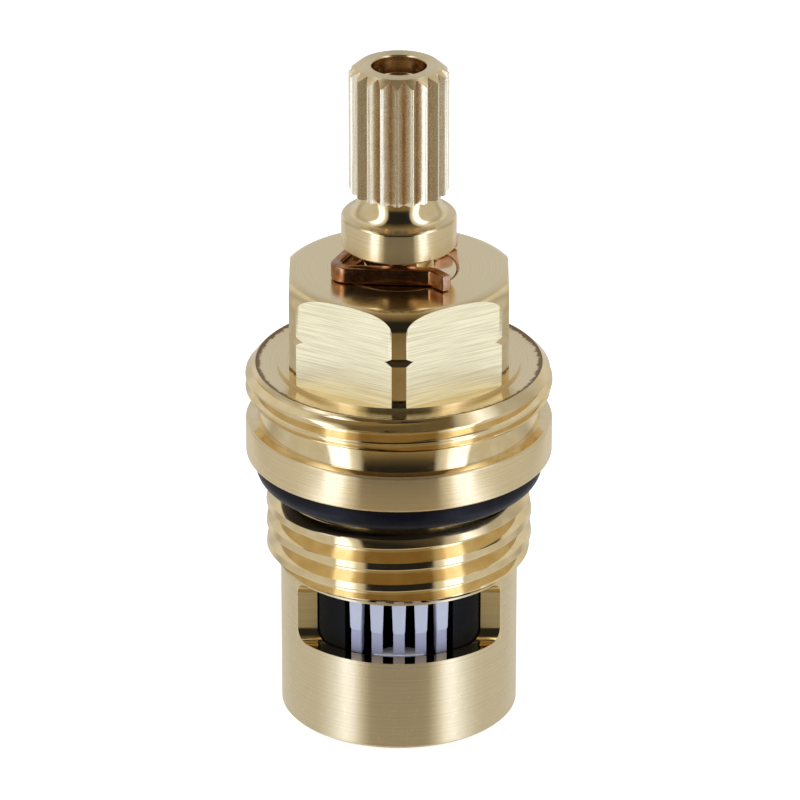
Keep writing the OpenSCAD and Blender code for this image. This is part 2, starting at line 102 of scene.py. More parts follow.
# Threads: pitch, crest width, root radius and height of a crest's middle at azimuth 0
TAP_PITCH = 1.814
TAP_CREST_W = 0.6
TAP_ROOT_R = 9.4
TAP_CREST_Z = 15.12
TAP_CHAMFER = 0.7
SLEEVE_PITCH = 1.0
SLEEVE_CREST_W = 0.16
SLEEVE_ROOT_R = 11.38
SLEEVE_CREST_Z = 28.16
SLEEVE_CHAMFER = 0.5
SLEEVE_TOP_CHAMFER = 0.75

# Both threads: root width, rows on a flank, and a crest's lean and lower edge as shares of its width
ROOT_W = 0.15
FLANK_STEPS = 7
CREST_LEAN = 0.14
CREST_EDGE = 0.14

# Sunken ring inside the rim above the upper thread, and the ragged line along its outer edge
RIM_R = SLEEVE_R - SLEEVE_TOP_CHAMFER
RIM_W = 0.53
RIM_EDGE = 0.04
RIM_DEPTH = 0.12
RIM_FLOOR_Z = HEX_Z - RIM_DEPTH
RAGGED_W = 0.7
RAGGED_FROM = -0.12
RAGGED_TO = 0.05

# Hexagon
HEX_CORNER_R = 9.45
HEX_FLAT_R = 8.45
HEX_ROUND = 1.45
HEX_ROUND_STEPS = 14
HEX_BASE_H = 0.15
GROOVE_Z = 33.72
GROOVE_HALF = 0.325
GROOVE_DEPTH = 0.24

# Windows
WINDOW_WALL = 4.9
WINDOW_CORNER = 1.0
WINDOW_MARGIN = 0.12

# Grooves for the fixed disc's tabs, and stop ribs inside the skirt
TAB_HALF = 1.6
TAB_R = 8.8
TAB_TOP_Z = 5.47
RIB_HALF = math.radians(15)
RIB_GAP = 0.1

# Stem and collar of the spindle
STEM_R = 4.45
STEM_EDGE = 0.15
CLIP_NECK_R = 2.7
COLLAR_Z = 39.67
FILLET_Z = 42.22
SPLINE_Z = 44.17
TIP_Z = high("spindle")
THROAT_R = 3.18
THROAT_CURVE_H = 1.5
THROAT_STEPS = 13

# Spline; its mesh columns are shares of a tooth's pitch, from the root to the crest
CREST_R = 3.85
ROOT_R = 3.23
TEETH = 20
CREST_HALF_W = 0.08
CREST_HALF = math.asin(CREST_HALF_W / CREST_R)
TOOTH_SOFT = 0.014
ROOT_LIFT = 0.01
TOOTH_COLUMNS = (0, 0.05, 0.1, 0.2, 0.28, 0.36, 0.41, 0.44, 0.47, 0.5)
SPLINE_ROWS = 13
SPLINE_TURN = math.radians(2.3)
FOOT_CHAMFER = 0.12
TOP_CHAMFER = 0.72
TOP_SLOPE = 0.83

# Screw hole, drive flange with its stop lobes, drive dog and grooves for the stem rings
HOLE_R = 2.1
HOLE_DEPTH = 11.0
HOLE_LIP = 0.06
DRILL_POINT = 1.0
SCREW_R = 1.75
SCREW_DEPTH = 1.45
DRIVE_R = 6.15
LOBE_R = 7.95
LOBE_FROM = math.radians(105.5)
LOBE_TO = math.radians(164.5)
DOG_R = 5.95
DOG_HALF = 2.0
DOG_H = 1.4
RING_GROOVE_R = 2.9
RING_GROOVE_H = 1.6

# Clip
CLIP_W = 0.9
CLIP_CORNER = 0.2
CLIP_BEND = 0.95
CLIP_ARM_Y = 3.2
CLIP_FRONT_X = -3.7
CLIP_SLOPE = math.radians(19)
CLIP_FLARE = math.radians(48)
CLIP_FLARE_X = 2.4
CLIP_TIP = 1.3
CLIP_TURN = math.radians(-4)

# Silencer comb
COMB_R = 7.95
BAR_COUNT = 5
BAR_PITCH = math.radians(12.6)
BAR_DEPTH = 1.0
BAR_SETBACK = 0.1
BAR_TOP_W = 1.14
BAR_MID_W = 0.94
BAR_LOW_W = 0.88
BAR_STEP_Z = 9.97
BAR_STEP_LAP = 0.3
BAR_CORNER = 0.24
BAR_EASE = 0.05
BAR_BACK_SHARE = 0.6
COMB_FOOT_R = 2.1
COMB_FOOT_OUT = 0.45
COMB_FOOT_H = 0.18
COMB_HEADER_H = 0.6


def eased(points, size=EASE):
    """A turned profile with every corner between its ends rounded over a short length."""
    out = [points[0]]
    for before, corner, after in zip(points, points[1:], points[2:]):
        p, c, n = (np.array(q, float) for q in (before, corner, after))
        back, on = p - c, n - c
        reach = min(size, np.linalg.norm(back) / 2, np.linalg.norm(on) / 2)
        a = c + back / np.linalg.norm(back) * reach
        b = c + on / np.linalg.norm(on) * reach
        out += [tuple(a), tuple((a + 2 * c + b) / 4), tuple(b)]
    return out + [points[-1]]


class Turning:
    """Rows of radius and height, one value for each azimuth, that weave into a turned surface."""

    def __init__(self, azimuths):
        self.azimuths = np.asarray(azimuths, float)
        self.radii, self.heights, self.across = [], [], []

    def add(self, r, z):
        """One row; a single number stands for every azimuth."""
        count = len(self.azimuths)
        self.across.append(len(self.radii))
        self.radii.append(np.broadcast_to(np.asarray(r, float), count))
        self.heights.append(np.broadcast_to(np.asarray(z, float), count))

    def profile(self, points):
        """Plain turned rows through points of radius and height."""
        for r, z in points:
            self.add(r, z)

    def thread(self, crest_r, root_r, pitch, crest_w, crest_z, z0, z1, foot, top):
        """Right-hand thread, chamfered at foot and top; rows climb with the helix, a pitch at the seam."""
        half, crest, root = pitch / 2, crest_w / 2, ROOT_W / 2
        edge, upper_r = CREST_EDGE * crest_w, crest_r - CREST_LEAN * crest_w
        lower_r = crest_r - edge / 2
        flank = np.linspace(0, 1, FLANK_STEPS)
        reach = crest + flank * (half - root - crest)
        offsets = np.concatenate([[-half], -reach[::-1], [edge - crest], reach])
        radii = np.concatenate([
            [root_r], (lower_r + flank * (root_r - lower_r))[::-1],
            [crest_r], upper_r + flank * (root_r - upper_r),
        ])
        lowest = math.floor((z0 - crest_z) / pitch) - 2
        highest = math.ceil((z1 - crest_z) / pitch) + 2
        middle = crest_z + pitch * self.azimuths / TURN
        first = len(self.radii)
        for lap in range(lowest, highest):
            for u in offsets:
                z = np.clip(middle + lap * pitch + u, z0, z1)
                along = (z - middle + half) % pitch - half
                r = np.interp(along, offsets, radii)
                limit = np.interp(
                    z, [z0, z0 + foot, z1 - top, z1], [crest_r - foot, crest_r, crest_r, crest_r - top],
                )
                self.add(np.minimum(r, limit), z)
        last = len(self.radii) - 1
        for row in range(first, last + 1):
            self.across[row] = min(row + len(offsets), last)

    def weave(self, closed=True):
        """Points and faces of the surface; a closed profile joins its last row to its first."""
        r, z = np.array(self.radii), np.array(self.heights)
        rows, columns = r.shape
        points = np.stack([r * np.sin(self.azimuths), -r * np.cos(self.azimuths), z], axis=2).reshape(-1, 3)
        faces = []
        for row in range(rows if closed else rows - 1):
            above = (row + 1) % rows
            for column in range(columns):
                beside = (column + 1) % columns
                here, there = (row, above) if beside else (self.across[row], self.across[above])
                faces.append((
                    row * columns + column, here * columns + beside,
                    there * columns + beside, above * columns + column,
                ))
        return points, faces


def loft(rings):
    """Points and faces of a solid through rings of equally many points, with flat ends."""
    count = len(rings[0])
    points = [p for ring in rings for p in ring]
    faces = [tuple(range(count))[::-1], tuple(range(len(points) - count, len(points)))]
    for ring in range(len(rings) - 1):
        for i in range(count):
            k = (i + 1) % count
            a, b = ring * count, (ring + 1) * count
            faces.append((a + i, a + k, b + k, b + i))
    return points, faces


def prism(outline, z0, z1, ease=0.0):
    """Upright solid over a flat outline, with its two rims eased."""
    rings = [[(x, y, z0) for x, y in inset(outline, ease)]] if ease else []
    rings += [[(x, y, z0 + ease) for x, y in outline], [(x, y, z1 - ease) for x, y in outline]]
    if ease:
        rings.append([(x, y, z1) for x, y in inset(outline, ease)])
    return loft(rings)


def inset(outline, size):
    """A closed flat outline, listed anticlockwise, moved inwards."""
    out = []
    for i, corner in enumerate(outline):
        p, c, n = (np.array(q, float) for q in (outline[i - 1], corner, outline[(i + 1) % len(outline)]))
        a, b = (c - p) / np.linalg.norm(c - p), (n - c) / np.linalg.norm(n - c)
        normal = np.array([-a[1] - b[1], a[0] + b[0]])
        normal /= np.linalg.norm(normal)
        share = max(0.35, normal @ np.array([-a[1], a[0]]))
        out.append(tuple(c + normal * size / share))
    return out


def arc(cx, cy, r, start, end, steps):
    """Points along an arc; angles in radians from +X."""
    return [(cx + r * math.cos(t), cy + r * math.sin(t)) for t in np.linspace(start, end, steps + 1)]


def spun(points, angle):
    """Points turned about the axis."""
    c, s = math.cos(angle), math.sin(angle)
    return [(x * c - y * s, x * s + y * c, z) for x, y, z in points]


def sector(r0, r1, start, end, z0, z1, steps=16):
    """Upright sector of a ring; angles in radians from +X."""
    outline = arc(0, 0, r1, start, end, steps) + arc(0, 0, r0, end, start, steps)
    return prism(outline, z0, z1)


def cross_bar(r, half):
    """Outline of a straight bar across the axis with round ends."""
    bend = math.asin(half / r)
    return arc(0, 0, r, -bend, bend, 6) + arc(0, 0, r, math.pi - bend, math.pi + bend, 6)


def mesh_piece(name, solids):
    """One object from several closed solids given as points and faces."""
    points, faces = [], []
    for solid_points, solid_faces in solids:
        base = len(points)
        points += [tuple(np.asarray(p, float) * MM) for p in solid_points]
        faces += [tuple(base + i for i in f) for f in solid_faces]
    mesh = bpy.data.meshes.new(name)
    mesh.from_pydata(points, [], faces)
    work = bmesh.new()
    work.from_mesh(mesh)
    bmesh.ops.remove_doubles(work, verts=work.verts, dist=WELD)
    bmesh.ops.dissolve_degenerate(work, edges=work.edges, dist=WELD)
    bmesh.ops.recalc_face_normals(work, faces=work.faces)
    work.to_mesh(mesh)
    work.free()
    piece = bpy.data.objects.new(name, mesh)
    bpy.context.scene.collection.objects.link(piece)
    return piece


def boolean(piece, solid, operation):
    """Cuts a solid from a piece, or joins it on."""
    tool = mesh_piece("tool", [solid])
    step = piece.modifiers.new("boolean", "BOOLEAN")
    step.operation = operation
    step.solver = "MANIFOLD"
    step.object = tool
    graph = bpy.context.evaluated_depsgraph_get()
    made = bpy.data.meshes.new_from_object(piece.evaluated_get(graph))
    piece.modifiers.clear()
    piece.data = made
    bpy.data.objects.remove(tool)


def smooth(piece):
    """Smooth shading, broken at sharp edges."""
    piece.data.polygons.foreach_set("use_smooth", [True] * len(piece.data.polygons))
    piece.data.set_sharp_from_angle(angle=SHARP)


def window_tool(side):
    """Straight slot across the skirt at the front (-1) or rear (1), rounded where it meets its rear wall."""
    reach, steps = 14.0, 8
    bend = WINDOW_WALL + WINDOW_CORNER
    corner = arc(bend, SILL_Z + WINDOW_CORNER, WINDOW_CORNER, 1.5 * math.pi, math.pi, steps)
    corner += arc(bend, LINTEL_Z - WINDOW_CORNER, WINDOW_CORNER, math.pi, math.pi / 2, steps)
    outline = [(reach, SILL_Z)] + corner + [(reach, LINTEL_Z)]
    return loft([[(x, side * out, z) for out, z in outline] for x in (-reach, reach)])


def hex_radius(azimuths):
    """Radius of the hexagon at each azimuth, with a corner at azimuth 0 turned down."""
    sixth = math.pi / 3
    return np.minimum(HEX_CORNER_R, HEX_FLAT_R / np.cos(azimuths % sixth - sixth / 2))


def weave_hexagon(turning):
    """Flats, marking groove round the corners and the rounded edge under the top face."""
    wall = hex_radius(turning.azimuths)
    share = np.clip(1 - (HEX_CORNER_R - wall) / GROOVE_DEPTH, 0, 1)
    turning.add(HEX_CORNER_R, RIM_FLOOR_Z)
    turning.add(HEX_CORNER_R, HEX_Z + HEX_BASE_H)
    turning.add(wall, HEX_Z + HEX_BASE_H)
    turning.add(wall, GROOVE_Z - GROOVE_HALF * share)
    turning.add(np.minimum(wall, HEX_CORNER_R - GROOVE_DEPTH), GROOVE_Z)
    turning.add(wall, GROOVE_Z + GROOVE_HALF * share)
    top_r, base_z = HEX_CORNER_R - HEX_ROUND, TOP_Z - HEX_ROUND
    flat_z = base_z + np.sqrt(np.maximum(HEX_ROUND ** 2 - (wall - top_r) ** 2, 0))
    for tilt in np.linspace(0, math.pi / 2, HEX_ROUND_STEPS + 1):
        r, z = top_r + HEX_ROUND * math.cos(tilt), base_z + HEX_ROUND * math.sin(tilt)
        turning.add(np.minimum(r, wall), np.maximum(z, flat_z))


def body_piece():
    """The brass body: threads and hexagon woven with the turning, windows and tab grooves cut after."""
    strip = math.pi / 6 - math.acos(HEX_FLAT_R / HEX_CORNER_R)
    edges = [(corner * math.pi / 3 + side) % TURN for corner in range(6) for side in (-strip, strip)]
    columns = np.arange(COLUMNS) * TURN / COLUMNS
    grid = [a for a in columns if min(abs(a - e) for e in edges) > COLUMN_GAP]
    turning = Turning(sorted(grid + edges))
    turning.profile(eased([
        (BORE_R, SHOULDER_Z), (BORE_R, FOOT_Z + SKIRT_EDGE), (BORE_R + SKIRT_EDGE, FOOT_Z),
        (SKIRT_R - SKIRT_EDGE, FOOT_Z), (SKIRT_R, FOOT_Z + SKIRT_EDGE), (SKIRT_R, SILL_Z - WINDOW_MARGIN),
    ])[1:])
    turning.profile([(SKIRT_R, LINTEL_Z + WINDOW_MARGIN), (SKIRT_R, TAP_Z)])
    turning.thread(
        TAP_R, TAP_ROOT_R, TAP_PITCH, TAP_CREST_W, TAP_CREST_Z, TAP_Z, NECK_Z, TAP_CHAMFER, TAP_CHAMFER,
    )
    turning.profile(eased([
        (NECK_R, NECK_Z), (NECK_R, FLANGE_Z), (FLANGE_R - FLANGE_EDGE, FLANGE_Z),
        (FLANGE_R, FLANGE_Z + FLANGE_EDGE), (FLANGE_R, RELIEF_Z - FLANGE_EDGE),
        (FLANGE_R - FLANGE_EDGE, RELIEF_Z), (RELIEF_R, RELIEF_Z), (RELIEF_R, SLEEVE_Z),
    ]))
    turning.thread(
        SLEEVE_R, SLEEVE_ROOT_R, SLEEVE_PITCH, SLEEVE_CREST_W, SLEEVE_CREST_Z, SLEEVE_Z, HEX_Z,
        SLEEVE_CHAMFER, SLEEVE_TOP_CHAMFER,
    )
    turning.profile([(RIM_R - RIM_EDGE, HEX_Z), (RIM_R - RIM_W, RIM_FLOOR_Z)])
    weave_hexagon(turning)
    turning.profile(eased([
        (STEM_BORE_R + 3 * BORE_MOUTH, TOP_Z), (STEM_BORE_R + BORE_MOUTH, TOP_Z),
        (STEM_BORE_R, TOP_Z - BORE_MOUTH), (STEM_BORE_R, SHOULDER_Z), (BORE_R, SHOULDER_Z),
    ]))
    body = mesh_piece("body_shell", [turning.weave()])
    for cut in (window_tool(-1), window_tool(1), prism(cross_bar(TAB_R, TAB_HALF), FOOT_Z - 1, TAB_TOP_Z)):
        boolean(body, cut, "DIFFERENCE")
    for middle in (0, math.pi):
        rib = sector(
            DRIVE_R + RIB_GAP, BORE_R + LAP, middle - RIB_HALF, middle + RIB_HALF, DRIVE_Z, SHOULDER_Z + LAP,
        )
        boolean(body, rib, "UNION")
    smooth(body)
    return body


def tooth_radius(azimuths):
    """Radius of the spline at each azimuth, with softly rounded crests and roots."""
    pitch = TURN / TEETH
    off = np.abs((azimuths + SPLINE_TURN + pitch / 2) % pitch - pitch / 2)
    ax, ay = CREST_R * math.cos(CREST_HALF), CREST_R * math.sin(CREST_HALF)
    bx, by = ROOT_R * math.cos(pitch / 2), ROOT_R * math.sin(pitch / 2)
    nx, ny = by - ay, ax - bx
    flank = (ax * nx + ay * ny) / (nx * np.cos(off) + ny * np.sin(off))
    crest = -TOOTH_SOFT * np.logaddexp(-CREST_R / TOOTH_SOFT, -flank / TOOTH_SOFT)
    return TOOTH_SOFT * np.logaddexp(crest / TOOTH_SOFT, (ROOT_R + ROOT_LIFT) / TOOTH_SOFT)


def stem_profile():
    """Radii and heights of the spindle from its drive flange up to the collar's top edge."""
    profile = [(0, DRIVE_Z), (DRIVE_R, DRIVE_Z), (DRIVE_R, WASHER_Z), (STEM_R, WASHER_Z)]
    for node in ("stem_o_ring_lower", "stem_o_ring_upper"):
        middle = (low(node) + high(node)) / 2
        z0, z1 = middle - RING_GROOVE_H / 2, middle + RING_GROOVE_H / 2
        profile += [(STEM_R, z0), (RING_GROOVE_R, z0), (RING_GROOVE_R, z1), (STEM_R, z1)]
    stem_top = TOP_Z - EASE
    return profile + [
        (STEM_R, stem_top), (CLIP_NECK_R, stem_top), (CLIP_NECK_R, COLLAR_Z), (STEM_R - STEM_EDGE, COLLAR_Z),
        (STEM_R, COLLAR_Z + STEM_EDGE), (STEM_R, FILLET_Z - STEM_EDGE), (STEM_R - STEM_EDGE, FILLET_Z),
    ]


def spindle_piece():
    """The brass spindle: turned stem and collar, spline, screw hole, drive flange with lobes and dog."""
    pitch = TURN / TEETH
    half_tooth = np.array(TOOTH_COLUMNS)
    shares = np.concatenate([half_tooth, 1 - half_tooth[-2:0:-1]])
    turning = Turning(sorted(
        (tooth * pitch + share * pitch + pitch / 2 - SPLINE_TURN) % TURN
        for tooth in range(TEETH) for share in shares
    ))
    turning.profile(eased(stem_profile()))
    for sweep in np.linspace(0, math.pi / 2, THROAT_STEPS + 1)[1:]:
        r = THROAT_R + (STEM_R - STEM_EDGE - THROAT_R) * (1 - math.sin(sweep))
        turning.add(r, FILLET_Z + THROAT_CURVE_H * (1 - math.cos(sweep)))
    turning.add(THROAT_R, SPLINE_Z)
    tooth = tooth_radius(turning.azimuths)
    foot_r, top_r = CREST_R - FOOT_CHAMFER, CREST_R - TOP_CHAMFER
    turning.add(np.minimum(tooth, foot_r), SPLINE_Z)
    foot_z = SPLINE_Z + np.maximum(tooth - foot_r, 0)
    top_z = TIP_Z - (tooth - top_r) * TOP_SLOPE
    for share in np.linspace(0, 1, SPLINE_ROWS):
        turning.add(tooth, foot_z + (top_z - foot_z) * share)
    hole_z, screw_z = TIP_Z - HOLE_DEPTH, TIP_Z - SCREW_DEPTH
    turning.profile(eased([
        (top_r, TIP_Z), (HOLE_R + HOLE_LIP, TIP_Z), (HOLE_R, TIP_Z - 2 * HOLE_LIP), (HOLE_R, screw_z),
        (SCREW_R, screw_z - HOLE_R + SCREW_R), (SCREW_R, hole_z), (0, hole_z - DRILL_POINT),
    ]))
    spindle = mesh_piece("spindle_turned", [turning.weave(closed=False)])
    boolean(spindle, prism(cross_bar(DOG_R, DOG_HALF), DRIVE_Z - DOG_H, DRIVE_Z + LAP), "UNION")
    for half_turn in (0, math.pi):
        lobe = sector(
            DRIVE_R - LAP, LOBE_R, LOBE_FROM + half_turn, LOBE_TO + half_turn, DRIVE_Z + LAP, WASHER_Z - LAP,
        )
        boolean(spindle, lobe, "UNION")
    smooth(spindle)
    return spindle


def clip_line():
    """Centre line of the clip in plan, mouth towards +X: front tip, closed end, rear tip."""
    steps, side_y = 10, CLIP_ARM_Y - CLIP_BEND
    flare = arc(
        CLIP_FLARE_X, -CLIP_ARM_Y - CLIP_BEND, CLIP_BEND, math.pi / 2 - CLIP_FLARE, math.pi / 2, steps,
    )
    along = np.array([math.cos(CLIP_FLARE), -math.sin(CLIP_FLARE)])
    tip = [tuple(np.array(flare[0]) + along * CLIP_TIP * share) for share in (1, 0.6, 0.3)] + flare
    rear_x = CLIP_FRONT_X + 2 * side_y * math.tan(CLIP_SLOPE)
    line = tip + [(x, -CLIP_ARM_Y) for x in np.linspace(CLIP_FLARE_X, CLIP_FRONT_X, 8)[1:-1]]
    line += arc(CLIP_FRONT_X, -side_y, CLIP_BEND, 1.5 * math.pi, math.pi - CLIP_SLOPE, steps)
    line += arc(rear_x, side_y, CLIP_BEND, math.pi - CLIP_SLOPE, math.pi / 2, steps)
    line += [(x, CLIP_ARM_Y) for x in np.linspace(rear_x, CLIP_FLARE_X, 6)[1:-1]]
    return line + [(x, -y) for x, y in reversed(tip)]


def clip_piece():
    """The bent wire clip, with a flat-sided wire whose edges and cut ends are rounded."""
    c, s = math.cos(CLIP_TURN), math.sin(CLIP_TURN)
    line = np.array(clip_line()) @ np.array([[c, s], [-s, c]])
    z0, z1 = low("retaining_clip"), high("retaining_clip")
    half_w, half_h = CLIP_W / 2, (z1 - z0) / 2
    section = []
    for sx, sy, start in ((1, -1, 1.5), (1, 1, 0), (-1, 1, 0.5), (-1, -1, 1)):
        section += arc(
            sx * (half_w - CLIP_CORNER), sy * (half_h - CLIP_CORNER), CLIP_CORNER,
            start * math.pi, (start + 0.5) * math.pi, 5,
        )
    tangents = np.gradient(line, axis=0)
    tangents /= np.linalg.norm(tangents, axis=1)[:, None]
    # Depth behind the cut end, and the share of the full section there
    ends = [(0.0, 0.76), (0.03, 0.88), (0.09, 0.97)]
    stations = [(line[0] + tangents[0] * depth, tangents[0], scale) for depth, scale in ends]
    stations += [(p, t, 1.0) for p, t in zip(line[1:-1], tangents[1:-1])]
    stations += [(line[-1] - tangents[-1] * depth, tangents[-1], scale) for depth, scale in reversed(ends)]
    rings = []
    for p, t, scale in stations:
        aside = np.array([t[1], -t[0]])
        rings.append([(*(p + aside * w * scale), (z0 + z1) / 2 + h * scale) for w, h in section])
    clip = mesh_piece("clip_wire", [loft(rings)])
    smooth(clip)
    return clip


def bar_block(outline, front, back):
    """A bar from its front outline, with eased front edges and a narrower back."""
    return loft([
        [(x, front, z) for x, z in inset(outline, BAR_EASE)],
        [(x, front + BAR_EASE, z) for x, z in outline],
        [(x * BAR_BACK_SHARE, back, z) for x, z in outline],
    ])


def foot_outline():
    """Half-round foot of the comb: a circle cut off at the comb's face."""
    centre = -COMB_R - COMB_FOOT_OUT
    y = (COMB_FOOT_R ** 2 - COMB_R ** 2 - centre ** 2) / (-2 * centre)
    bend = math.atan2(y - centre, math.sqrt(COMB_R ** 2 - y ** 2))
    sweep = math.asin(math.sqrt(COMB_R ** 2 - y ** 2) / COMB_R)
    rear = arc(0, centre, COMB_FOOT_R, bend, math.pi - bend, 24)
    return rear + arc(0, 0, COMB_R, 1.5 * math.pi - sweep, 1.5 * math.pi + sweep, 16)[1:-1]


def comb_piece(name, azimuth):
    """Silencer comb: stepped bars under a header, the middle ones on a half-round foot."""
    z0, z1 = low("silencer_comb_front"), high("silencer_comb_front")
    low_half, mid_half, top_half = BAR_LOW_W / 2, BAR_MID_W / 2, BAR_TOP_W / 2
    upper = arc(mid_half - BAR_CORNER, BAR_STEP_Z + BAR_CORNER, BAR_CORNER, -math.pi / 2, 0, 5)
    upper += [(top_half, z1), (-top_half, z1)]
    upper += [(-x, z) for x, z in reversed(upper[:-2])]
    lower_z = BAR_STEP_Z + BAR_STEP_LAP
    lower = [(-low_half, z0), (low_half, z0), (low_half, lower_z), (-low_half, lower_z)]
    back = BAR_DEPTH - COMB_R
    solids = []
    for index in range(BAR_COUNT):
        turn = (index - (BAR_COUNT - 1) / 2) * BAR_PITCH
        for points, faces in (bar_block(upper, -COMB_R, back), bar_block(lower, BAR_SETBACK - COMB_R, back)):
            solids.append((spun(points, turn), faces))
    solids.append(prism(foot_outline(), z0, z0 + COMB_FOOT_H, BAR_EASE))
    half = (BAR_COUNT - 1) / 2 * BAR_PITCH + math.asin(top_half / COMB_R)
    middle = 1.5 * math.pi
    solids.append(sector(
        COMB_R - BAR_DEPTH - LAP, COMB_R - BAR_SETBACK, middle - half, middle + half, z1 - COMB_HEADER_H, z1,
    ))
    comb = mesh_piece(name, [(spun(points, azimuth), faces) for points, faces in solids])
    smooth(comb)
    return comb


class Nodes:
    """Shorthand for wiring a node tree."""

    def __init__(self, tree):
        self.tree = tree

    def join(self, output, entry):
        self.tree.links.new(output, entry)

    def node(self, kind, **values):
        made = self.tree.nodes.new(kind)
        for key, value in values.items():
            setattr(made, key, value)
        return made

    def math(self, operation, *terms):
        made = self.node("ShaderNodeMath", operation=operation)
        for entry, value in zip(made.inputs, terms):
            if isinstance(value, (int, float)):
                entry.default_value = value
            else:
                self.join(value, entry)
        return made.outputs[0]

    def length(self, a, b):
        """Length of a flat vector from its two parts."""
        square = self.math("ADD", self.math("MULTIPLY", a, a), self.math("MULTIPLY", b, b))
        return self.math("SQRT", square)

    def split(self, vector):
        made = self.node("ShaderNodeSeparateXYZ")
        self.join(vector, made.inputs[0])
        return made.outputs

    def span(self, value, start, end, first=0.0, last=1.0):
        """A value from start to end, mapped from first to last and held beyond."""
        made = self.node("ShaderNodeMapRange")
        for entry, number in (("From Min", start), ("From Max", end), ("To Min", first), ("To Max", last)):
            made.inputs[entry].default_value = number
        self.join(value, made.inputs["Value"])
        return made.outputs["Result"]

    def ramp(self, fac, stops):
        made = self.node("ShaderNodeValToRGB")
        while len(made.color_ramp.elements) < len(stops):
            made.color_ramp.elements.new(0.5)
        for element, (position, colour) in zip(made.color_ramp.elements, stops):
            element.position = position
            element.color = (*colour, 1)
        self.join(fac, made.inputs["Fac"])
        return made.outputs["Color"]

    def mix(self, fac, a, b):
        made = self.node("ShaderNodeMix", data_type="RGBA")
        for entry, output in zip((made.inputs[0], made.inputs[6], made.inputs[7]), (fac, a, b)):
            self.join(output, entry)
        return made.outputs[2]


class Finish(Nodes):
    """A procedural material on object coordinates."""

    def __init__(self, name, metallic):
        self.material = bpy.data.materials.new(name)
        self.material.use_nodes = True
        super().__init__(self.material.node_tree)
        self.shader = self.tree.nodes["Principled BSDF"]
        self.shader.inputs["Metallic"].default_value = metallic
        self.place = self.node("ShaderNodeTexCoord").outputs["Object"]
        self.x, self.y, self.z = self.split(self.place)

    def set(self, socket, value):
        self.shader.inputs[socket].default_value = value

    def noise(self, size, detail=3.0, stretch=None):
        """Grain of a size in millimetres, optionally stretched along an axis."""
        place = self.place
        if stretch:
            scaled = self.node("ShaderNodeMapping")
            scaled.inputs["Scale"].default_value = stretch
            self.join(place, scaled.inputs["Vector"])
            place = scaled.outputs["Vector"]
        made = self.node("ShaderNodeTexNoise")
        made.inputs["Scale"].default_value = 1 / (size * MM)
        made.inputs["Detail"].default_value = detail
        self.join(place, made.inputs["Vector"])
        return made.outputs["Fac"]

    def lines(self, along, size, detail=4.0):
        """Tool marks of a size in millimetres, square to the way along."""
        made = self.node("ShaderNodeTexNoise", noise_dimensions="1D")
        made.inputs["Scale"].default_value = 1 / (size * MM)
        made.inputs["Detail"].default_value = detail
        self.join(along, made.inputs["W"])
        return made.outputs["Fac"]

    def radius(self):
        return self.length(self.x, self.y)

    def colour(self, fac, stops):
        self.join(self.ramp(fac, stops), self.shader.inputs["Base Color"])

    def roughness(self, fac, lowest, highest):
        self.join(self.span(fac, 0.3, 0.7, lowest, highest), self.shader.inputs["Roughness"])

    def brushed_round(self, amount):
        """Highlights drawn out across tool marks that run round the axis."""
        self.set("Anisotropic", amount)
        self.set("Anisotropic Rotation", 0.25)
        self.join(self.node("ShaderNodeTangent", direction_type="RADIAL", axis="Z").outputs[0],
                  self.shader.inputs["Tangent"])

    def bump(self, *layers):
        """Layers of height, each a factor and its depth in millimetres."""
        normal = None
        for height, depth in layers:
            made = self.node("ShaderNodeBump")
            made.inputs["Distance"].default_value = depth * MM
            self.join(height, made.inputs["Height"])
            if normal:
                self.join(normal, made.inputs["Normal"])
            normal = made.outputs["Normal"]
        self.join(normal, self.shader.inputs["Normal"])


BRASS_DARK = (0.80, 0.62, 0.33)
BRASS = (0.87, 0.71, 0.42)


def turned_brass(name, metallic, rough, ring=0.07, dark=BRASS_DARK, pale=BRASS):
    """Lathe-turned brass: fine rings round the axis over a faint stain; less metallic reads duller."""
    finish = Finish(name, metallic)
    marks = finish.lines(finish.math("ADD", finish.radius(), finish.z), ring)
    finish.colour(marks, [(0.3, dark), (0.6, pale)])
    finish.roughness(finish.noise(0.35), *rough)
    finish.brushed_round(1.0)
    finish.bump((marks, 0.001), (finish.noise(0.3), 0.0004))
    return finish.material


def milled_brass(name, metallic, dark, pale, streak, grain_depth, line_depth):
    """Milled brass: finely speckled, with cutter lines across the flats."""
    finish = Finish(name, metallic)
    speckle = finish.noise(0.09, detail=5.0)
    streaks = finish.noise(streak, detail=4.0, stretch=(0.018, 0.018, 1))
    finish.colour(streaks, [(0.36, dark), (0.6, pale)])
    finish.roughness(finish.noise(0.2), 0.36, 0.46)
    finish.brushed_round(0.8)
    finish.bump((speckle, grain_depth), (streaks, line_depth))
    return finish.material


def polished_brass(name):
    """Smooth cut brass with faint scratches."""
    finish = Finish(name, 1.0)
    finish.colour(finish.noise(1.5), [(0.35, BRASS_DARK), (0.65, BRASS)])
    finish.roughness(finish.noise(0.5), 0.06, 0.13)
    finish.bump((finish.lines(finish.z, 0.12), 0.0004), (finish.noise(0.6), 0.0012))
    return finish.material


def spline_brass(name):
    """Broached spline: streaked, with painted shade dulling and browning the grooves and a painted highlight
    brightening the crests.
    """
    finish = Finish(name, 0.9)
    streaks = finish.noise(0.16, stretch=(1, 1, 0.06))
    # Colour runs from dark brown at the roots to pale at the crests: painted shade in the grooves and a
    # painted highlight on the crests, over real broach streaks.
    painted_shade_by_radius = finish.span(finish.radius(), ROOT_R * MM, CREST_R * MM, 0.0, 0.5)
    streaks_and_painted_shade = finish.math("ADD", finish.math("MULTIPLY", streaks, 0.5), painted_shade_by_radius)
    finish.colour(streaks_and_painted_shade, [(0.2, (0.70, 0.50, 0.31)), (0.4, (0.94, 0.77, 0.51)), (0.7, (0.98, 0.89, 0.65))])
    finish.roughness(finish.noise(0.4), 0.23, 0.31)
    finish.bump((finish.noise(0.3), 0.0015), (streaks, 0.007))
    return finish.material


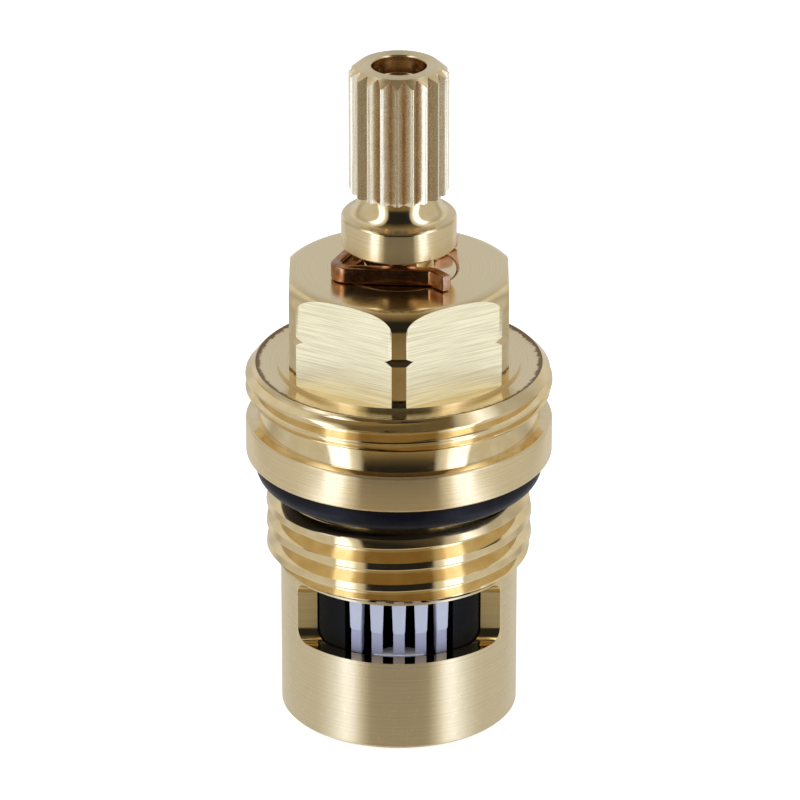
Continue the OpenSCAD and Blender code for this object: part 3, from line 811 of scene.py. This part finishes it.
def bored_brass(name):
    """Inside of the screw hole: brown, with faint rings."""
    finish = Finish(name, 1.0)
    finish.colour(finish.noise(0.5), [(0.3, (0.46, 0.31, 0.16)), (0.7, (0.64, 0.47, 0.27))])
    finish.roughness(finish.noise(0.3), 0.12, 0.2)
    finish.bump((finish.lines(finish.z, 0.15), 0.002))
    return finish.material


def chatter_brass(name):
    """Ring inside the rim above the upper thread: brass with a ragged brown line along its outer edge."""
    finish = Finish(name, 1.0)
    wander = finish.math("MULTIPLY", finish.noise(0.5, detail=6.0), RAGGED_W * MM)
    ragged = finish.math("ADD", finish.radius(), wander)
    share = finish.span(ragged, (RIM_R + RAGGED_FROM) * MM, (RIM_R + RAGGED_TO) * MM)
    finish.colour(share, [(0.0, BRASS), (1.0, (0.22, 0.12, 0.045))])
    finish.roughness(finish.noise(0.2), 0.2, 0.34)
    finish.bump((finish.noise(0.2), 0.006))
    return finish.material


def bronze_wire(name):
    """Drawn bronze wire: copper brown with dark stains."""
    finish = Finish(name, 1.0)
    finish.colour(finish.noise(0.7), [(0.35, (0.34, 0.15, 0.07)), (0.65, (0.54, 0.28, 0.15))])
    finish.roughness(finish.noise(0.25), 0.14, 0.24)
    finish.bump((finish.noise(0.12), 0.0012))
    return finish.material


def cut_bronze(name):
    """Cut ends of the wire: rough and pinkish."""
    finish = Finish(name, 0.7)
    finish.colour(finish.noise(0.3), [(0.3, (0.72, 0.42, 0.30)), (0.7, (0.86, 0.58, 0.45))])
    finish.roughness(finish.noise(0.2), 0.35, 0.5)
    finish.bump((finish.noise(0.15), 0.02))
    return finish.material


def comb_plastic(name):
    """Cool white moulded plastic, with painted shade making it darker below the bars' step."""
    finish = Finish(name, 0.0)
    # Below the bars' step the colour is darker and bluer: painted shade on the set-back lower stage.
    painted_shade_height = finish.math("ADD", finish.z, finish.math("MULTIPLY", finish.noise(0.6), 0.0001))
    share = finish.span(painted_shade_height, (BAR_STEP_Z - 0.05) * MM, (BAR_STEP_Z + 0.15) * MM)
    finish.colour(share, [(0.0, (0.41, 0.42, 0.57)), (1.0, (0.54, 0.58, 0.70))])
    finish.roughness(finish.noise(0.4), 0.35, 0.5)
    finish.bump((finish.noise(0.15), 0.003))
    return finish.material


def plain_finish(name, dark, light, rough, grain, depth, specular=0.5):
    """Rubber, plastic or ceramic: a faint stain and an even grain."""
    finish = Finish(name, 0.0)
    finish.colour(finish.noise(1.2), [(0.3, dark), (0.7, light)])
    finish.roughness(finish.noise(0.4), *rough)
    finish.set("Specular IOR Level", specular)
    finish.bump((finish.noise(grain), depth))
    return finish.material


def paint_faces(piece, materials, choose):
    """Gives a piece its materials and each face the one that choose names by its index."""
    piece.data.materials.clear()
    for material in materials:
        piece.data.materials.append(material)
    for face in piece.data.polygons:
        r = math.hypot(face.center.x, face.center.y) / MM
        face.material_index = choose(face, r, face.center.z / MM)


def body_material(face, r, z):
    """Index into the body's finishes, which go by the kind of surface and where it is."""
    turned, flat, polished, wall, chatter, faced, skirt = range(7)
    upright, level = abs(face.normal.z) < 0.02, face.normal.z > 0.95
    if HEX_Z + HEX_BASE_H < z < TOP_Z and r > HEX_FLAT_R - NEAR:
        facing = math.degrees(math.atan2(face.normal.x, -face.normal.y)) % 60
        if upright:
            return flat if abs(facing - 30) < 0.5 else polished
        return polished
    if SILL_Z - NEAR < z < LINTEL_Z + NEAR:
        if not upright:
            return polished
        if abs(abs(face.center.y) / MM - WINDOW_WALL) < 2 * NEAR:
            return wall
    if RIM_FLOOR_Z < z < HEX_Z and RIM_R - RIM_W < r < RIM_R - RIM_EDGE:
        return chatter
    if RELIEF_Z < z < HEX_Z and r > RIM_R - RIM_W or TAP_Z < z < FLANGE_Z:
        return polished
    if level and z > RELIEF_Z:
        return faced
    return skirt if z < TAP_Z else turned


def spindle_material(face, r, z):
    """Index into the spindle's finishes: turned, spline, polished or bored."""
    turned, spline, polished, bored = range(4)
    if z > SPLINE_Z:
        if r < HOLE_R + NEAR:
            return bored
        return turned if face.normal.z > 0.3 else spline
    in_throat = z > FILLET_Z - STEM_EDGE - 3 * NEAR and face.normal.z < 0.8
    return polished if in_throat or z < COLLAR_Z else turned


def clip_material(face, r, z):
    """Index into the clip's finishes: drawn wire or a cut end at one of its two tips."""
    wire, cut = range(2)
    for flare in (-CLIP_FLARE, CLIP_FLARE):
        way = CLIP_TURN + flare
        if face.normal.x * math.cos(way) + face.normal.y * math.sin(way) > 0.9:
            return cut
    return wire


def paint_node(name, material):
    """Gives a CAD node's own slots a material."""
    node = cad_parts[name]
    for slot in node.material_slots:
        slot.material = material
    if not node.material_slots:
        node.data.materials.append(material)


def dress():
    """Makes the pieces, lets them stand for their nodes and gives everything its material."""
    turned = turned_brass("turned brass", 0.86, (0.22, 0.27), ring=0.1)
    faced = turned_brass("faced brass", 1.0, (0.1, 0.14))
    skirt = turned_brass(
        "skirt brass", 0.76, (0.27, 0.32), ring=0.14, dark=(0.73, 0.59, 0.34), pale=(0.81, 0.68, 0.42),
    )
    polished = polished_brass("polished brass")
    flats = milled_brass(
        "milled flats", 1.0, dark=(0.70, 0.60, 0.34), pale=(0.90, 0.79, 0.48),
        streak=0.07, grain_depth=0.005, line_depth=0.002,
    )
    walls = milled_brass(
        "milled walls", 0.82, dark=(0.88, 0.70, 0.34), pale=(0.94, 0.77, 0.41),
        streak=0.14, grain_depth=0.001, line_depth=0.006,
    )
    splined, bored = spline_brass("spline brass"), bored_brass("bored brass")
    chatter = chatter_brass("ragged rim")
    body, spindle = body_piece(), spindle_piece()
    clip, front, rear = clip_piece(), comb_piece("comb_front", 0), comb_piece("comb_rear", math.pi)
    paint_faces(body, [turned, flats, polished, walls, chatter, faced, skirt], body_material)
    paint_faces(spindle, [turned, splined, polished, bored], spindle_material)
    paint_faces(clip, [bronze_wire("bronze wire"), cut_bronze("cut bronze")], clip_material)
    combs = [
        comb_plastic("white plastic"),
        # The foot's colour is a paler, warmer copy of the comb's plastic: painted light on the foot's upward
        # faces.
        plain_finish(
            "foot plastic painted light", (0.90, 0.85, 0.76), (0.95, 0.91, 0.83),
            rough=(0.35, 0.5), grain=0.15, depth=0.003,
        ),
    ]
    foot_z = low("silencer_comb_front") + COMB_FOOT_H
    for comb in (front, rear):
        # Only the foot's upward faces take the foot plastic with painted light.
        paint_faces(comb, combs, lambda face, r, z: int(z < foot_z + NEAR and face.normal.z > 0.3))
    for piece, rides_on, slot, node in (
        (body, "housing", "body_brass", "body"),
        (spindle, "spindle_group", "spindle_brass", "spindle"),
        (clip, "spindle_group", "bronze_wire", "retaining_clip"),
        (front, "spindle_group", "white_plastic", "silencer_comb_front"),
        (rear, "spindle_group", "white_plastic", "silencer_comb_rear"),
    ):
        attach(piece, rides_on)
        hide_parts(node)

    rubber = plain_finish(
        "black rubber", (0.003, 0.003, 0.006), (0.006, 0.006, 0.011),
        rough=(0.3, 0.45), grain=0.08, depth=0.002, specular=0.2,
    )
    black = plain_finish(
        "black plastic", (0.002, 0.002, 0.002), (0.003, 0.003, 0.004),
        rough=(0.25, 0.4), grain=0.1, depth=0.002, specular=0.1,
    )
    pale = plain_finish(
        "pale plastic", (0.66, 0.63, 0.53), (0.75, 0.72, 0.62), rough=(0.35, 0.5), grain=0.15, depth=0.003,
    )
    ceramic = plain_finish(
        "ceramic", (0.78, 0.75, 0.68), (0.85, 0.83, 0.76), rough=(0.12, 0.25), grain=0.1, depth=0.001,
    )
    # The moving disc is painted near black, unlike the pale fixed disc: painted shade inside the cartridge
    # behind the comb's bars.
    ceramic_painted_as_shade = plain_finish(
        "ceramic painted as shade", (0.003, 0.003, 0.003), (0.006, 0.006, 0.006),
        rough=(0.12, 0.25), grain=0.1, depth=0.001, specular=0.2,
    )
    for name in ("body_o_ring", "seat_seal", "stem_o_ring_lower", "stem_o_ring_upper"):
        paint_node(name, rubber)
    paint_node("disc_carrier", black)
    for name in ("seal_support_ring", "thrust_washer"):
        paint_node(name, pale)
    paint_node("fixed_disc", ceramic)
    # The moving disc takes the near-black ceramic, painted as shade.
    paint_node("moving_disc", ceramic_painted_as_shade)


def grey(level):
    return (level, level, level)


def warm(level):
    return (level, level * 0.78, level * 0.45)


def cool(level):
    return (level, level * 1.12, level * 1.5)


def surroundings():
    """Soft white studio: black ahead above a dim table, a soft box on each side, bright behind."""
    world = bpy.data.worlds.new("studio")
    bpy.context.scene.world = world
    world.use_nodes = True
    sky = Nodes(world.node_tree)
    x, y, z = sky.split(sky.node("ShaderNodeTexCoord").outputs["Generated"])
    aside = sky.math("ABSOLUTE", x)
    ahead = sky.math("MULTIPLY", y, -1.0)
    rise = sky.math("ARCTAN2", z, ahead)
    # Degrees above the level ahead: 90 is overhead, 180 level behind and below 0 the table
    middle = sky.ramp(sky.span(rise, -math.pi, math.pi), [
        ((angle + 180) / 360, colour) for angle, colour in (
            (-180, grey(0.65)), (-90, grey(0.7)), (-75, warm(0.6)), (-60, warm(0.34)),
            (-46, warm(0.25)), (-24, warm(0.28)), (-16, warm(0.08)), (-10, grey(0.02)),
            (45, grey(0.02)), (70, warm(0.15)), (95, warm(0.28)), (125, grey(0.5)),
            (155, (0.62, 0.65, 0.72)), (180, grey(0.65)),
        )
    ])
    # By the share of a direction that points sideways
    front_sides = sky.ramp(aside, [
        (0.0, grey(0.5)), (0.5, grey(0.55)), (0.586, grey(0.9)), (0.635, cool(1.7)), (0.79, cool(1.7)),
        (0.808, grey(0.64)), (0.92, grey(0.64)), (1.0, grey(0.62)),
    ])
    rear_sides = sky.ramp(aside, [
        (0.0, grey(0.65)), (0.5, grey(0.74)), (0.63, grey(0.72)), (0.72, grey(0.57)), (0.79, grey(0.47)),
        (0.88, grey(0.56)), (0.92, grey(0.62)), (1.0, grey(0.6)),
    ])
    sides = sky.mix(sky.span(ahead, -0.1, 0.2), rear_sides, front_sides)
    colour = sky.mix(sky.span(aside, 0.45, 0.495), middle, sides)
    sky.join(colour, world.node_tree.nodes["Background"].inputs["Color"])


def studio():
    """Plain pale floor, unlit under the seat and not shown by glossy surfaces, and the camera."""
    mesh = bpy.data.meshes.new("floor")
    reach = 4.0
    corners = [(-reach, -reach, 0), (reach, -reach, 0), (reach, reach, 0), (-reach, reach, 0)]
    mesh.from_pydata(corners, [], [(0, 1, 2, 3)])
    floor = bpy.data.objects.new("floor", mesh)
    bpy.context.scene.collection.objects.link(floor)
    floor.visible_glossy = False
    paper = bpy.data.materials.new("paper")
    paper.use_nodes = True
    shader = paper.node_tree.nodes["Principled BSDF"]
    shader.inputs["Base Color"].default_value = (0.92, 0.92, 0.92, 1)
    shader.inputs["Roughness"].default_value = 0.9
    shader.inputs["Emission Color"].default_value = (1, 1, 1, 1)
    mesh.materials.append(paper)
    nodes = Nodes(paper.node_tree)
    x, y, _ = nodes.split(nodes.node("ShaderNodeTexCoord").outputs["Object"])
    dark_r, edge, glow = 7.6, 0.3, 0.8
    lit = nodes.span(nodes.length(x, y), dark_r * MM, (dark_r + edge) * MM, 0.0, glow)
    nodes.join(lit, shader.inputs["Emission Strength"])

    view = bpy.data.cameras.new("camera")
    view.sensor_width = 36
    view.lens = 277.7
    view.clip_start, view.clip_end = 0.01, 20
    camera = bpy.data.objects.new("camera", view)
    distance, elevation, target_x, target_z = 0.4806, math.radians(24.35), 0.00008, 0.02641
    camera.location = (
        target_x, -distance * math.cos(elevation), target_z + distance * math.sin(elevation),
    )
    camera.rotation_euler = (math.pi / 2 - elevation, 0, 0)
    bpy.context.scene.collection.objects.link(camera)
    bpy.context.scene.camera = camera
    bpy.context.scene.view_settings.view_transform = "Standard"


dress()
surroundings()
studio()
